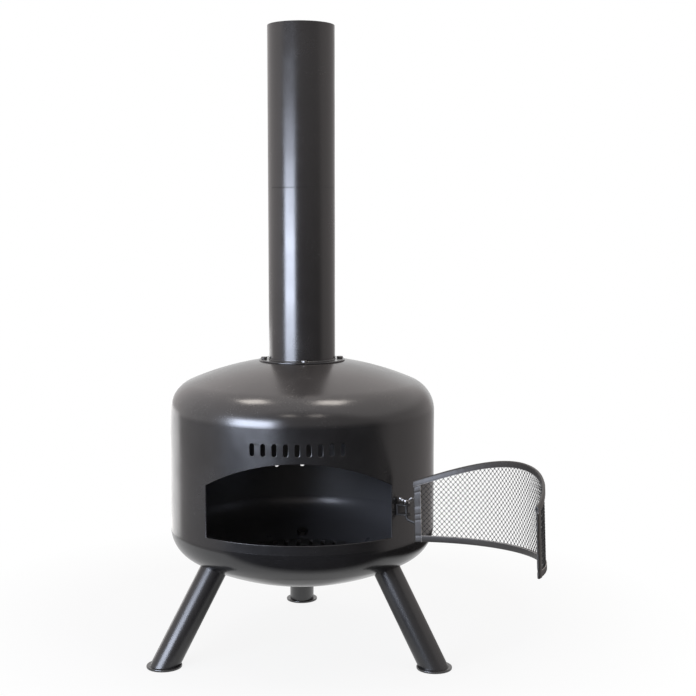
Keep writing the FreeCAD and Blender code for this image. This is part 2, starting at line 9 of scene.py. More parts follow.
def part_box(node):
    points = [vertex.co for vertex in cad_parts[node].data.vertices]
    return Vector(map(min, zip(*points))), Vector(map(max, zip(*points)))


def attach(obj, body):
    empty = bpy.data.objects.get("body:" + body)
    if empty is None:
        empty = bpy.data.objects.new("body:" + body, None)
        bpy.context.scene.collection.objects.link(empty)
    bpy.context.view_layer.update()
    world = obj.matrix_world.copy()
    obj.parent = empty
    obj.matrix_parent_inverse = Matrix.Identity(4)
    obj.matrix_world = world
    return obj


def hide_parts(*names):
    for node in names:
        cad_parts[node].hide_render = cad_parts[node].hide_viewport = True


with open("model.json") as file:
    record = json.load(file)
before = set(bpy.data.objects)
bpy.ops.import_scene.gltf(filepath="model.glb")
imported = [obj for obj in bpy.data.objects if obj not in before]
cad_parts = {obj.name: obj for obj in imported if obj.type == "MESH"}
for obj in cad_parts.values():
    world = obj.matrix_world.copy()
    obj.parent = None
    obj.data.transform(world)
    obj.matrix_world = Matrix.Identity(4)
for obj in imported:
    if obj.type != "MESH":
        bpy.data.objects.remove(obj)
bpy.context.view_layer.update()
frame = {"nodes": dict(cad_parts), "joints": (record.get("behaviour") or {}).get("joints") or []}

# Drum wall
# One strip of 2.5 mm steel, cut flat with its arched mouth, a row of air slots and two holes for the back.
# It is rolled into a drum, welded at the back and to both dished ends, and sprayed with satin stove paint.
wall_low, wall_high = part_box("drum_wall")
drum_radius = wall_high.x
drum_sheet = 0.0025
lower_seam = wall_low.z
upper_seam = wall_high.z
back_weld_azimuth = math.radians(160)
wall_columns = 144
mouth_half_width = 0.1645
mouth_lip = lower_seam + 0.017
mouth_spring = mouth_lip + 0.094
mouth_rise = 0.0485
arch_steps = 40
slot_count = 9
slot_radius = 0.004
slot_straight = 0.014
slot_pitch = 0.020
slot_low = mouth_spring + mouth_rise + 0.0125
slot_segments = 16
back_hole_radius = 0.005
back_hole_places = (-0.00955, -0.06305)
back_hole_height = mouth_lip + 0.0495
back_hole_segments = 24
column_snap = 0.0004
seam_margin = 0.001
cut_edge_bevel = 0.0009
sharp_edge_angle = math.radians(40)
crease_angle = 18
merge_distance = 0.000002
stove_black = (0.010, 0.0098, 0.0101, 1)
wall_coat = {"roughness": 0.24, "dust": 0.12, "gloss": 0.85}
ash_grey_inside = (0.100, 0.100, 0.106, 1)
soot_black_inside = (0.012, 0.012, 0.012, 1)
ash_line = (lower_seam - 0.03, mouth_lip + 0.08)
dust_grey = (0.16, 0.155, 0.15, 1)
cloud_scale = 11
speck_scale = 520
settled_scale = 16
peel_scale = 850
wave_scale = 22
middle_of_noise = (0.3, 0.7)
cloud_tone = (0.86, 1.14)
cloud_roughness = (-0.05, 0.05)
grain_limits = (0.62, 0.74)
patch_limits = (0.42, 0.68)
dust_roughness = 0.25
soot_roughness = 0.15
wave_height = 2.0
peel_height = 0.12
film_bump = {"Strength": 0.25, "Distance": 0.0003}


def put(tree, kind, settings=None, **inputs):
    """Adds a shader node, sets its options and feeds its inputs with values or other nodes' outputs."""
    node = tree.nodes.new("ShaderNode" + kind)
    for name, value in (settings or {}).items():
        setattr(node, name, value)
    for name, value in inputs.items():
        socket = node.inputs[name.replace("_", " ")]
        if isinstance(value, bpy.types.NodeSocket):
            tree.links.new(value, socket)
        else:
            socket.default_value = value
    return node


def calculated(tree, operation, *values):
    """Output of a math node on sockets or numbers."""
    node = put(tree, "Math", {"operation": operation})
    for socket, value in zip(node.inputs, values):
        if isinstance(value, bpy.types.NodeSocket):
            tree.links.new(value, socket)
        else:
            socket.default_value = value
    return node.outputs[0]


def spread(tree, value, low, high, new_low, new_high):
    """Output of a value moved from one range to another, and held inside it."""
    limits = {"From_Min": low, "From_Max": high, "To_Min": new_low, "To_Max": new_high}
    return put(tree, "MapRange", Value=value, **limits).outputs["Result"]


def blended(tree, share, first, second):
    """Output of two colours mixed by a share."""
    node = put(tree, "Mix", {"data_type": "RGBA"})
    for socket, value in zip((node.inputs[0], node.inputs[6], node.inputs[7]), (share, first, second)):
        if isinstance(value, bpy.types.NodeSocket):
            tree.links.new(value, socket)
        else:
            socket.default_value = value
    return node.outputs[2]


def effect(name, inputs, outputs):
    """Empty shader node group with named sockets, and its input and output nodes."""
    group = bpy.data.node_groups.new(name, "ShaderNodeTree")
    for socket_name, kind in inputs.items():
        group.interface.new_socket(socket_name, in_out="INPUT", socket_type="NodeSocket" + kind)
    for socket_name, kind in outputs.items():
        group.interface.new_socket(socket_name, in_out="OUTPUT", socket_type="NodeSocket" + kind)
    return group, group.nodes.new("NodeGroupInput"), group.nodes.new("NodeGroupOutput")


def sprayed_film():
    """Effect of a sprayed coat: cloudy tone, settled dust, orange peel, and an inside with ash below soot."""
    inputs = {"Vector": "Vector", "Color": "Color", "Roughness": "Float", "Soot": "Float", "Dust": "Float"}
    outputs = {"Color": "Color", "Roughness": "Float", "Height": "Float"}
    group, given, result = effect("sprayed_film", inputs, outputs)
    place = given.outputs["Vector"]
    clouds = put(group, "TexNoise", Vector=place, Scale=cloud_scale, Detail=4, Roughness=0.6).outputs[0]
    specks = put(group, "TexNoise", Vector=place, Scale=speck_scale, Detail=1).outputs[0]
    settled = put(group, "TexNoise", Vector=place, Scale=settled_scale, Detail=5, Roughness=0.7).outputs[0]
    peel = put(group, "TexNoise", Vector=place, Scale=peel_scale, Detail=2).outputs[0]
    waves = put(group, "TexNoise", Vector=place, Scale=wave_scale, Detail=1).outputs[0]
    tone = spread(group, clouds, *middle_of_noise, *cloud_tone)
    toned = put(group, "VectorMath", {"operation": "SCALE"}, Vector=given.outputs["Color"], Scale=tone)
    grains = spread(group, specks, *grain_limits, 0, 1)
    patches = spread(group, settled, *patch_limits, 0, 1)
    speckled = calculated(group, "MULTIPLY", grains, patches)
    dust = calculated(group, "MULTIPLY", speckled, given.outputs["Dust"])
    dusted = blended(group, dust, toned.outputs[0], dust_grey)
    height_inside = put(group, "SeparateXYZ", Vector=place).outputs["Z"]
    lining = blended(group, spread(group, height_inside, *ash_line, 0, 1), ash_grey_inside, soot_black_inside)
    sooted = blended(group, given.outputs["Soot"], dusted, lining)
    uneven = spread(group, clouds, *middle_of_noise, *cloud_roughness)
    rough = calculated(group, "ADD", given.outputs["Roughness"], uneven)
    rough = calculated(group, "MULTIPLY_ADD", dust, dust_roughness, rough)
    rough = calculated(group, "MULTIPLY_ADD", given.outputs["Soot"], soot_roughness, rough)
    peel_share = calculated(group, "MULTIPLY", peel, peel_height)
    height = calculated(group, "MULTIPLY_ADD", waves, wave_height, peel_share)
    group.links.new(sooted, result.inputs["Color"])
    group.links.new(rough, result.inputs["Roughness"])
    group.links.new(height, result.inputs["Height"])
    return group


film_effect = sprayed_film()


def stove_paint(name, colour, coat, inside_soot=False, painted_sheen=None):
    """Satin stove paint with a coat's roughness, dust and gloss.

    Pieces that line the fire read their soot from an attribute. A painted sheen turns the colour over to a
    lighter second colour between two heights, standing in for the light that falls on the top."""
    material = bpy.data.materials.new(name)
    material.use_nodes = True
    tree = material.node_tree
    shader = tree.nodes["Principled BSDF"]
    given = {"Color": colour, "Roughness": coat["roughness"], "Dust": coat["dust"], "Soot": 0}
    film = put(tree, "Group", {"node_tree": film_effect}, **given)
    place = put(tree, "TexCoord").outputs["Object"]
    tree.links.new(place, film.inputs["Vector"])
    # Painted sheen: the colour turns lighter between two heights, standing in for light on the top.
    if painted_sheen:
        height = put(tree, "SeparateXYZ", Vector=place).outputs["Z"]
        share = spread(tree, height, painted_sheen["low"], painted_sheen["high"], 0, 1)
        tree.links.new(blended(tree, share, colour, painted_sheen["colour"]), film.inputs["Color"])
    if inside_soot:
        soot = put(tree, "Attribute", {"attribute_name": "soot"})
        tree.links.new(soot.outputs["Fac"], film.inputs["Soot"])
    bump = put(tree, "Bump", Height=film.outputs["Height"], **film_bump)
    tree.links.new(film.outputs["Color"], shader.inputs["Base Color"])
    tree.links.new(film.outputs["Roughness"], shader.inputs["Roughness"])
    tree.links.new(bump.outputs["Normal"], shader.inputs["Normal"])
    shader.inputs["Specular IOR Level"].default_value = coat["gloss"]
    return material


def rolled(bm, radius):
    """Rolls a flat sheet that stands on X and Z round the drum's axis, with -Y turned outwards."""
    for vert in bm.verts:
        turn = vert.co.x / radius
        reach = radius - vert.co.y
        vert.co.x = reach * math.sin(turn)
        vert.co.y = -reach * math.cos(turn)


def closed_up(bm):
    """Merges the points that meet and points the faces outwards."""
    bmesh.ops.remove_doubles(bm, verts=bm.verts[:], dist=merge_distance)
    bmesh.ops.recalc_face_normals(bm, faces=bm.faces[:])
    bm.normal_update()


def thickened(bm, thickness):
    """Gives a sheet its thickness inwards, and marks the inside for soot."""
    soot = bm.verts.layers.float.new("soot")
    outside = set(bm.verts)
    bmesh.ops.solidify(bm, geom=bm.faces[:], thickness=thickness)
    for vert in bm.verts:
        vert[soot] = 0 if vert in outside else 1


def eased(bm, width, edges=None, segments=2):
    """Takes the sharpness off the edges that turn far enough, out of some edges or out of all."""
    if edges is None:
        edges = bm.edges
    sharp = [edge for edge in edges if edge.is_manifold and edge.calc_face_angle() > sharp_edge_angle]
    bmesh.ops.bevel(
        bm, geom=sharp, offset=width, segments=segments, profile=0.5, affect="EDGES", material=-1,
    )


def made_piece(name, bm, body, finish, nodes=(), sharp_angle=crease_angle):
    """Turns a finished mesh into a piece that rides on a body and stands for CAD nodes."""
    mesh = bpy.data.meshes.new(name)
    bm.to_mesh(mesh)
    bm.free()
    mesh.shade_smooth()
    mesh.set_sharp_from_angle(angle=math.radians(sharp_angle))
    mesh.materials.append(finish)
    piece = bpy.data.objects.new(name, mesh)
    bpy.context.scene.collection.objects.link(piece)
    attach(piece, body)
    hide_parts(*nodes)
    return piece


def upright_ring(bm, segments, radius, centre):
    """Round loop of edges that faces the front, with no point level with its centre."""
    place = Matrix.Translation(centre) @ Matrix.Rotation(math.radians(90), 4, "X")
    half_step = Matrix.Rotation(math.pi / segments, 4, "Z")
    return bmesh.ops.create_circle(bm, segments=segments, radius=radius, matrix=place @ half_step)["verts"]


def loop_edges(bm, verts):
    """Joins points into a closed loop."""
    for index, vert in enumerate(verts):
        bm.edges.new((verts[index - 1], vert))


blank = bmesh.new()
first_end = drum_radius * (back_weld_azimuth - 2 * math.pi)
last_end = drum_radius * back_weld_azimuth
corner_places = (
    (first_end, lower_seam), (last_end, lower_seam), (last_end, upper_seam), (first_end, upper_seam),
)
corners = [blank.verts.new((along, 0, height)) for along, height in corner_places]
loop_edges(blank, corners)

arch_radius = (mouth_half_width ** 2 + mouth_rise ** 2) / (2 * mouth_rise)
arch_centre = Vector((0, 0, mouth_spring + mouth_rise - arch_radius))
arch_turn = 2 * math.asin(mouth_half_width / arch_radius)
spring_right = blank.verts.new((mouth_half_width, 0, mouth_spring))
arch = bmesh.ops.spin(
    blank, geom=[spring_right], cent=arch_centre, axis=(0, -1, 0), angle=arch_turn, steps=arch_steps,
)
spring_left = arch["geom_last"][0]
lip_left = blank.verts.new((-mouth_half_width, 0, mouth_lip))
lip_right = blank.verts.new((mouth_half_width, 0, mouth_lip))
for side_end, lip_end in ((spring_left, lip_left), (lip_left, lip_right), (lip_right, spring_right)):
    blank.edges.new((side_end, lip_end))
for vert in blank.verts:
    if vert not in corners:
        vert.co.x = drum_radius * math.asin(max(-1, min(1, vert.co.x / drum_radius)))

for index in range(slot_count):
    centre = Vector(((index - (slot_count - 1) / 2) * slot_pitch, 0, slot_low + slot_radius))
    ring = upright_ring(blank, slot_segments, slot_radius, centre)
    upper_half = [vert for vert in ring if vert.co.z > centre.z]
    bmesh.ops.translate(blank, verts=upper_half, vec=(0, 0, slot_straight))
for place in back_hole_places:
    along = drum_radius * (-math.pi - math.asin(place / drum_radius))
    upright_ring(blank, back_hole_segments, back_hole_radius, Vector((along, 0, back_hole_height)))

bmesh.ops.triangle_fill(blank, use_beauty=True, edges=blank.edges[:], normal=(0, -1, 0))
for column in range(1, wall_columns):
    along = first_end + column * (last_end - first_end) / wall_columns
    everything = blank.verts[:] + blank.edges[:] + blank.faces[:]
    plane = {"plane_co": (along, 0, 0), "plane_no": (1, 0, 0)}
    bmesh.ops.bisect_plane(blank, geom=everything, dist=column_snap, **plane)
rolled(blank, drum_radius)
closed_up(blank)
thickened(blank, drum_sheet)
cut_edges = [
    edge for edge in blank.edges
    if min(vert.co.z for vert in edge.verts) > lower_seam + seam_margin
    and max(vert.co.z for vert in edge.verts) < upper_seam - seam_margin
]
eased(blank, cut_edge_bevel, cut_edges)
wall_finish = stove_paint("wall_paint", stove_black, wall_coat, inside_soot=True)
made_piece("drum_wall_sheet", blank, "stove", wall_finish, ["drum_wall"])

# Dished ends
# The dome and the bowl are round steel blanks, pressed to a wide crown with a tight knuckle at the rim.
# Both are welded to the wall. The bowl is deeper, and the dome has a flat seat with a hole for the flue.
dome_crown_radius = 0.540
bowl_crown_radius = 0.460
knuckle_radius = 0.060
flue_seat_radius = 0.083
flue_hole_radius = 0.0595
knuckle_steps = 24
crown_steps = 36
end_steps = 192
knuckle_reach = drum_radius - knuckle_radius
dome_coat = {"roughness": 0.22, "dust": 0.3, "gloss": 0.85}
# Painted sheen: above the knuckle the dome turns a lighter warm grey, standing in for the warm ceiling light
# on the crown.
painted_crown_sheen = {"colour": (0.031, 0.0285, 0.0275, 1), "low": upper_seam + 0.015, "high": upper_seam + 0.055}
bowl_coat = {"roughness": 0.17, "dust": 0.1, "gloss": 0.7}


def turned_round(bm, steps):
    """Spins a section round the drum's axis into a closed form."""
    section = bm.verts[:] + bm.edges[:]
    bmesh.ops.spin(bm, geom=section, axis=(0, 0, 1), angle=2 * math.pi, steps=steps, use_merge=True)
    closed_up(bm)


def crown_drop(crown_radius):
    """Distance from a seam to the centre of the crown, on the far side of the seam."""
    return math.sqrt((crown_radius - knuckle_radius) ** 2 - knuckle_reach ** 2)


def dished_end(seam, side, crown_radius, inner_radius):
    """Dished end that rises or hangs from a seam, open inside a radius."""
    bm = bmesh.new()
    knuckle_turn = math.atan2(crown_drop(crown_radius), knuckle_reach)
    rim = bm.verts.new((drum_radius, 0, seam))
    inwards = (0, -side, 0)
    knuckle_centre = (knuckle_reach, 0, seam)
    knuckle = bmesh.ops.spin(
        bm, geom=[rim], cent=knuckle_centre, axis=inwards, angle=knuckle_turn, steps=knuckle_steps,
    )
    crown_turn = math.pi / 2 - knuckle_turn - math.asin(inner_radius / crown_radius)
    crown_centre = (0, 0, seam - side * crown_drop(crown_radius))
    crown = bmesh.ops.spin(
        bm, geom=knuckle["geom_last"], cent=crown_centre, axis=inwards, angle=crown_turn, steps=crown_steps,
    )
    return bm, crown["geom_last"][0]


dome, seat_edge = dished_end(upper_seam, 1, dome_crown_radius, flue_seat_radius)
seat_height = seat_edge.co.z
dome.edges.new((seat_edge, dome.verts.new((flue_hole_radius, 0, seat_height))))
turned_round(dome, end_steps)
thickened(dome, drum_sheet)
dome_finish = stove_paint("dome_paint", stove_black, dome_coat, inside_soot=True, painted_sheen=painted_crown_sheen)
made_piece("top_dome_pressing", dome, "stove", dome_finish, ["top_dome"])

bowl, bowl_pole = dished_end(lower_seam, -1, bowl_crown_radius, 0)
bowl_pole.co.x = 0
turned_round(bowl, end_steps)
thickened(bowl, drum_sheet)
bowl_finish = stove_paint("bowl_paint", stove_black, bowl_coat, inside_soot=True)
made_piece("bottom_bowl_pressing", bowl, "stove", bowl_finish, ["bottom_bowl"])

# Lower weld
# A fine machine weld closes the bowl to the wall all round.
# It is dressed almost flush and painted over with the drum.
weld_section_radius = 0.0012
weld_sinking = 0.00118
weld_segments = 10
weld_coat = {"roughness": 0.28, "dust": 0.1, "gloss": 0.85}
bead_sharp_angle = 60


def ring_bead(section_radius, ring_radius, height, steps):
    """Bead of round section laid round the drum's axis."""
    bm = bmesh.new()
    upright_ring(bm, weld_segments, section_radius, Vector((ring_radius, 0, height)))
    turned_round(bm, steps)
    return bm


weld = ring_bead(weld_section_radius, drum_radius - weld_sinking, lower_seam, end_steps)
weld_finish = stove_paint("weld_paint", stove_black, weld_coat)
made_piece("lower_weld", weld, "stove", weld_finish, sharp_angle=bead_sharp_angle)

# Flue pipes and flange
# Two lengths of 125 mm steel pipe meet on an inner sleeve. The lower one is welded into a round flange,
# which is bolted to the dome's seat with four small hex bolts.
flange_low, flange_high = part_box("chimney_flange")
lower_pipe_low, lower_pipe_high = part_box("chimney_lower")
upper_pipe_low, upper_pipe_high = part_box("chimney_upper")
flue_radius = lower_pipe_high.x
flue_sheet = 0.002
flue_steps = 128
pipe_edge_bevel = 0.0005
flange_bevel = 0.001
flange_weld_radius = 0.0012
bolt_azimuths = (5, 95, 185, 275)
bolt_head_flats = 0.010
bolt_head_height = 0.004
bolt_shank_radius = 0.003
bolt_shank_length = 0.0125
bolt_shank_segments = 24
bolt_head_bevel = 0.0006
flue_black = (0.0125, 0.0115, 0.0115, 1)
flue_coat = {"roughness": 0.24, "dust": 0.15, "gloss": 0.85}
flange_coat = {"roughness": 0.2, "dust": 0.25, "gloss": 0.85}
dark_zinc = (0.16, 0.155, 0.15, 1)
dark_zinc_roughness = 0.38
zinc_cloud_scale = 190
zinc_cloud_limits = (0.35, 0.65)
zinc_paling = 1.3
zinc_grain_scale = 1600
zinc_unevenness = 0.08
zinc_bump = {"Strength": 0.2, "Distance": 0.0001}


def round_wall(outer_radius, inner_radius, low, high, steps):
    """Upright ring or pipe with square ends on the drum's axis."""
    bm = bmesh.new()
    places = ((inner_radius, low), (outer_radius, low), (outer_radius, high), (inner_radius, high))
    loop_edges(bm, [bm.verts.new((radius, 0, height)) for radius, height in places])
    turned_round(bm, steps)
    return bm


flue_finish = stove_paint("flue_paint", flue_black, flue_coat)
pipes = (("flue_lower_pipe", "stove", lower_pipe_low.z, lower_pipe_high.z, "chimney_lower"),
         ("flue_upper_pipe", "flue_top_section", upper_pipe_low.z, upper_pipe_high.z, "chimney_upper"))
for name, body, low, high, node in pipes:
    pipe = round_wall(flue_radius, flue_radius - flue_sheet, low, high, flue_steps)
    eased(pipe, pipe_edge_bevel)
    made_piece(name, pipe, body, flue_finish, [node])
frame["nodes"]["chimney_sleeve"].data.materials[0] = flue_finish

flange = round_wall(flange_high.x, flue_radius, flange_low.z, flange_high.z, flue_steps)
eased(flange, flange_bevel)
flange_finish = stove_paint("flange_paint", stove_black, flange_coat)
made_piece("flue_flange_ring", flange, "stove", flange_finish, ["chimney_flange"])
flange_weld = ring_bead(flange_weld_radius, flue_radius, flange_high.z, flue_steps)
made_piece(
    "flue_flange_weld", flange_weld, "stove", weld_finish, sharp_angle=bead_sharp_angle,
)


def steel(name, colour, roughness):
    """Zinc-plated steel with a cloudy passivated tone and a fine grain."""
    material = bpy.data.materials.new(name)
    material.use_nodes = True
    tree = material.node_tree
    shader = tree.nodes["Principled BSDF"]
    place = put(tree, "TexCoord").outputs["Object"]
    clouds = put(tree, "TexNoise", Vector=place, Scale=zinc_cloud_scale, Detail=4).outputs[0]
    grain = put(tree, "TexNoise", Vector=place, Scale=zinc_grain_scale, Detail=2).outputs[0]
    pale = tuple(min(1, zinc_paling * part) for part in colour[:3]) + (1,)
    tone = blended(tree, spread(tree, clouds, *zinc_cloud_limits, 0, 1), colour, pale)
    tree.links.new(tone, shader.inputs["Base Color"])
    uneven = spread(tree, grain, *middle_of_noise, roughness - zinc_unevenness, roughness + zinc_unevenness)
    tree.links.new(uneven, shader.inputs["Roughness"])
    bump = put(tree, "Bump", Height=grain, **zinc_bump)
    tree.links.new(bump.outputs["Normal"], shader.inputs["Normal"])
    shader.inputs["Metallic"].default_value = 1
    return material


def hex_bolt(bm, place):
    """Hex bolt whose head stands on a place, with its shank below."""
    head_place = place @ Matrix.Translation((0, 0, bolt_head_height / 2))
    corner_radius = bolt_head_flats / math.sqrt(3)
    head = {"radius1": corner_radius, "radius2": corner_radius, "depth": bolt_head_height}
    bmesh.ops.create_cone(bm, cap_ends=True, segments=6, matrix=head_place, **head)
    shank_place = place @ Matrix.Translation((0, 0, -bolt_shank_length / 2))
    shank = {"radius1": bolt_shank_radius, "radius2": bolt_shank_radius, "depth": bolt_shank_length}
    bmesh.ops.create_cone(bm, cap_ends=True, segments=bolt_shank_segments, matrix=shank_place, **shank)


bolts = bmesh.new()
bolt_circle = (flue_radius + flange_high.x) / 2
for azimuth in bolt_azimuths:
    around = Matrix.Rotation(math.radians(azimuth), 4, "Z")
    hex_bolt(bolts, around @ Matrix.Translation((0, -bolt_circle, flange_high.z)))
eased(bolts, bolt_head_bevel)
bolt_finish = steel("bolt_steel", dark_zinc, dark_zinc_roughness)
made_piece("flue_flange_bolts", bolts, "stove", bolt_finish, ["flange_bolts"])
for node in ("flange_nuts", "leg_bolts", "leg_washers"):
    frame["nodes"][node].data.materials[0] = bolt_finish

# Legs and feet
# Three splayed tubes, cut to the bowl at the top and bolted on from inside it into a threaded plug.
# Each stands on a round plate that is welded under the tube.
leg_azimuths = {"left": -61, "right": 59, "back": 182.5}
leg_radius = 0.025
leg_sheet = 0.002
leg_splay = math.radians(30.5)
leg_seat_radius = 0.186
leg_segments = 56
foot_radius = 0.0325
foot_bevel = 0.0009
foot_steps = 72
foot_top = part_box("foot_left")[1].z
leg_coat = {"roughness": 0.31, "dust": 0.15, "gloss": 0.6}
foot_coat = {"roughness": 0.25, "dust": 0.3, "gloss": 0.85}
plug_grey = (0.3, 0.3, 0.3, 1)
plug_roughness = 0.45
bowl_centre = Vector((0, 0, lower_seam + crown_drop(bowl_crown_radius)))
leg_seat_rise = math.sqrt(bowl_crown_radius ** 2 - leg_seat_radius ** 2)
leg_seat = Vector((0, -leg_seat_radius, bowl_centre.z - leg_seat_rise))
leg_up = Vector((0, math.sin(leg_splay), math.cos(leg_splay)))
leg_foot = Vector((0, leg_seat.y - leg_seat.z * math.tan(leg_splay), 0))
leg_finish = stove_paint("leg_paint", stove_black, leg_coat)
foot_finish = stove_paint("foot_paint", stove_black, foot_coat)
plug_finish = steel("plug_steel", plug_grey, plug_roughness)


def to_bowl(point):
    """Where a line up the leg from a point meets the bowl's outer face."""
    from_centre = point - bowl_centre
    along = from_centre.dot(leg_up)
    reach = math.sqrt(along ** 2 - from_centre.length_squared + bowl_crown_radius ** 2)
    return point + leg_up * (-along - reach)


def to_foot(point):
    """Where a line down the leg from a point meets the top of the foot."""
    return point + leg_up * ((foot_top - point.z) / leg_up.z)


def leg_tube():
    """Leg at the front: a tube whose ends are slid along its axis to the bowl and to the foot."""
    bm = bmesh.new()
    tilt = Vector((0, 0, 1)).rotation_difference(leg_up).to_matrix().to_4x4()
    place = Matrix.Translation(leg_seat) @ tilt
    top = bmesh.ops.create_circle(bm, segments=leg_segments, radius=leg_radius, matrix=place)["verts"]
    walls = bmesh.ops.extrude_edge_only(bm, edges=bm.edges[:])["geom"]
    foot_end = [item for item in walls if isinstance(item, bmesh.types.BMVert)]
    for vert in top:
        vert.co = to_bowl(vert.co)
    for vert in foot_end:
        vert.co = to_foot(vert.co)
    closed_up(bm)
    bmesh.ops.solidify(bm, geom=bm.faces[:], thickness=leg_sheet)
    return bm


for side, azimuth in leg_azimuths.items():
    around = Matrix.Rotation(math.radians(azimuth), 3, "Z")
    leg = leg_tube()
    bmesh.ops.rotate(leg, verts=leg.verts[:], cent=(0, 0, 0), matrix=around)
    made_piece("leg_tube_" + side, leg, "stove", leg_finish, ["leg_" + side])
    foot = bmesh.new()
    disc = {"radius1": foot_radius, "radius2": foot_radius, "depth": foot_top}
    middle = Matrix.Translation(leg_foot + Vector((0, 0, foot_top / 2)))
    bmesh.ops.create_cone(foot, cap_ends=True, segments=foot_steps, matrix=middle, **disc)
    eased(foot, foot_bevel)
    bmesh.ops.rotate(foot, verts=foot.verts[:], cent=(0, 0, 0), matrix=around)
    made_piece("foot_plate_" + side, foot, "stove", foot_finish, ["foot_" + side])
    frame["nodes"]["leg_plug_" + side].data.materials[0] = plug_finish

# Fire grate
# Flat bars lie across a stepped ring that stands on four feet in the bowl, and lifts out.
# The ring and the bars are cast. The iron is bare, darkened by fire and greyed by ash.
grate_bevel = 0.0007
cad_merge_distance = 0.000005
flat_angle = math.radians(0.5)
iron_grey = (0.075, 0.073, 0.072, 1)
bloom_brown = (0.055, 0.04, 0.032, 1)
ash_pale = (0.16, 0.155, 0.15, 1)
sand_scale = 700
bloom_scale = 45
bloom_limits = (0.48, 0.7)
bloom_share = 0.8
ash_limits = (0.32, 0.42)
ash_share = 0.5
iron_roughness = (0.45, 0.7)
iron_bump = {"Strength": 0.4, "Distance": 0.0004}
grate_nodes = {
    "grate_ring": "fire_grate_ring", "grate_bars": "fire_grate_bars", "grate_feet": "fire_grate_feet",
}


def cast_iron(name, colour):
    """Bare cast iron: sandy skin, brownish bloom and pale ash in patches."""
    material = bpy.data.materials.new(name)
    material.use_nodes = True
    tree = material.node_tree
    shader = tree.nodes["Principled BSDF"]
    place = put(tree, "TexCoord").outputs["Object"]
    sand = put(tree, "TexNoise", Vector=place, Scale=sand_scale, Detail=3).outputs[0]
    bloom = put(tree, "TexNoise", Vector=place, Scale=bloom_scale, Detail=5, Roughness=0.65).outputs[0]
    rusty = blended(tree, spread(tree, bloom, *bloom_limits, 0, bloom_share), colour, bloom_brown)
    ashy = blended(tree, spread(tree, bloom, *ash_limits, ash_share, 0), rusty, ash_pale)
    tree.links.new(ashy, shader.inputs["Base Color"])
    tree.links.new(spread(tree, sand, *middle_of_noise, *iron_roughness), shader.inputs["Roughness"])
    bump = put(tree, "Bump", Height=sand, **iron_bump)
    tree.links.new(bump.outputs["Normal"], shader.inputs["Normal"])
    return material


def softened_copy(node, width, segments=2):
    """Copy of a CAD node's mesh, merged, with flat faces joined again and its edges rounded."""
    bm = bmesh.new()
    bm.from_mesh(frame["nodes"][node].data)
    bmesh.ops.remove_doubles(bm, verts=bm.verts[:], dist=cad_merge_distance)
    bmesh.ops.dissolve_limit(bm, angle_limit=flat_angle, verts=bm.verts[:], edges=bm.edges[:])
    bm.normal_update()
    eased(bm, width, segments=segments)
    return bm


grate_finish = cast_iron("grate_iron", iron_grey)
for node, name in grate_nodes.items():
    made_piece(name, softened_copy(node, grate_bevel), "fire_grate", grate_finish, [node])

# Hinge
# A folded bracket with two ears is welded to the wall. A bent rod drops through both ears as the hinge pin,
# is kept by a plated wing nut on its thread and is welded to the door at its lower end.
bracket_bevel = 0.0006
rod_bevel = 0.0005
nut_bevel = 0.0006
nut_bevel_segments = 3
hinge_black = (0.016, 0.0158, 0.0155, 1)
hinge_coat = {"roughness": 0.42, "dust": 0.2, "gloss": 0.5}
bright_zinc = (0.27, 0.265, 0.26, 1)
bright_zinc_roughness = 0.2
hinge_finish = stove_paint("hinge_paint", hinge_black, hinge_coat)
nut_finish = steel("nut_steel", bright_zinc, bright_zinc_roughness)
bracket = softened_copy("hinge_bracket", bracket_bevel)
made_piece("hinge_bracket_fold", bracket, "stove", hinge_finish, ["hinge_bracket"])
rod = softened_copy("hinge_rod", rod_bevel)
made_piece("hinge_bent_rod", rod, "spark_door", hinge_finish, ["hinge_rod"])
nut = softened_copy("hinge_wing_nut", nut_bevel, nut_bevel_segments)
made_piece("hinge_nut", nut, "spark_door", nut_finish, ["hinge_wing_nut"])

# Door frame
# Four strips of thin steel are folded over the edge of the mesh and crimped shut on it.
# They are worked flat here, rolled to the drum's curve and swung open about the hinge pin.
door_radius = 0.2554
door_half_depth = 0.0024
strip_thickness = 0.0013
rail_width = 0.011
stile_width = 0.013
door_low = mouth_lip - 0.0057
door_side_height = 0.1076
door_arch_rise = 0.044
mouth_half_azimuth = math.asin(mouth_half_width / drum_radius)
door_hinge_end = door_radius * mouth_half_azimuth + 0.0065
door_free_end = -door_radius * mouth_half_azimuth - 0.0735
door_middle = (door_hinge_end + door_free_end) / 2
door_half_turn = (door_hinge_end - door_free_end) / 2 / door_radius
door_half_width = door_radius * math.sin(door_half_turn)
door_arch_radius = (door_half_width ** 2 + door_arch_rise ** 2) / (2 * door_arch_rise)
door_open_turn = math.radians(122.5)
fold_bulge = 0.7
fold_drop = 0.3
stile_crimps = {"depth": 0.0005, "pitch": 0.0165}
rail_crimps = {"depth": 0.0002, "pitch": 0.0264}
crimp_wander = 0.35
crimp_wander_rate = 2.3
crimp_sharpness = 12
middle_plane = 0.0001
rail_cuts = 144
stile_cuts = 88
strip_sharp_angle = 50
sheared_edge = 0.0009
strip_black = (0.034, 0.0315, 0.0285, 1)
strip_coat = {"roughness": 0.42, "dust": 0.2, "gloss": 0.45}
# Pale grey painted along the strips' inner edge as a painted highlight, broken up by noise.
edge_highlight_grey = (0.34, 0.325, 0.30, 1)
edge_break_scale = 140
edge_break_limits = (0.3, 0.55)
least_edge_highlight = 0.2
hinge_joint = next(joint for joint in frame["joints"] if joint["name"] == "door_swing")
pin_place = Vector(hinge_joint["pos_m"])
pin_axis = Vector(hinge_joint["axis"]).normalized()


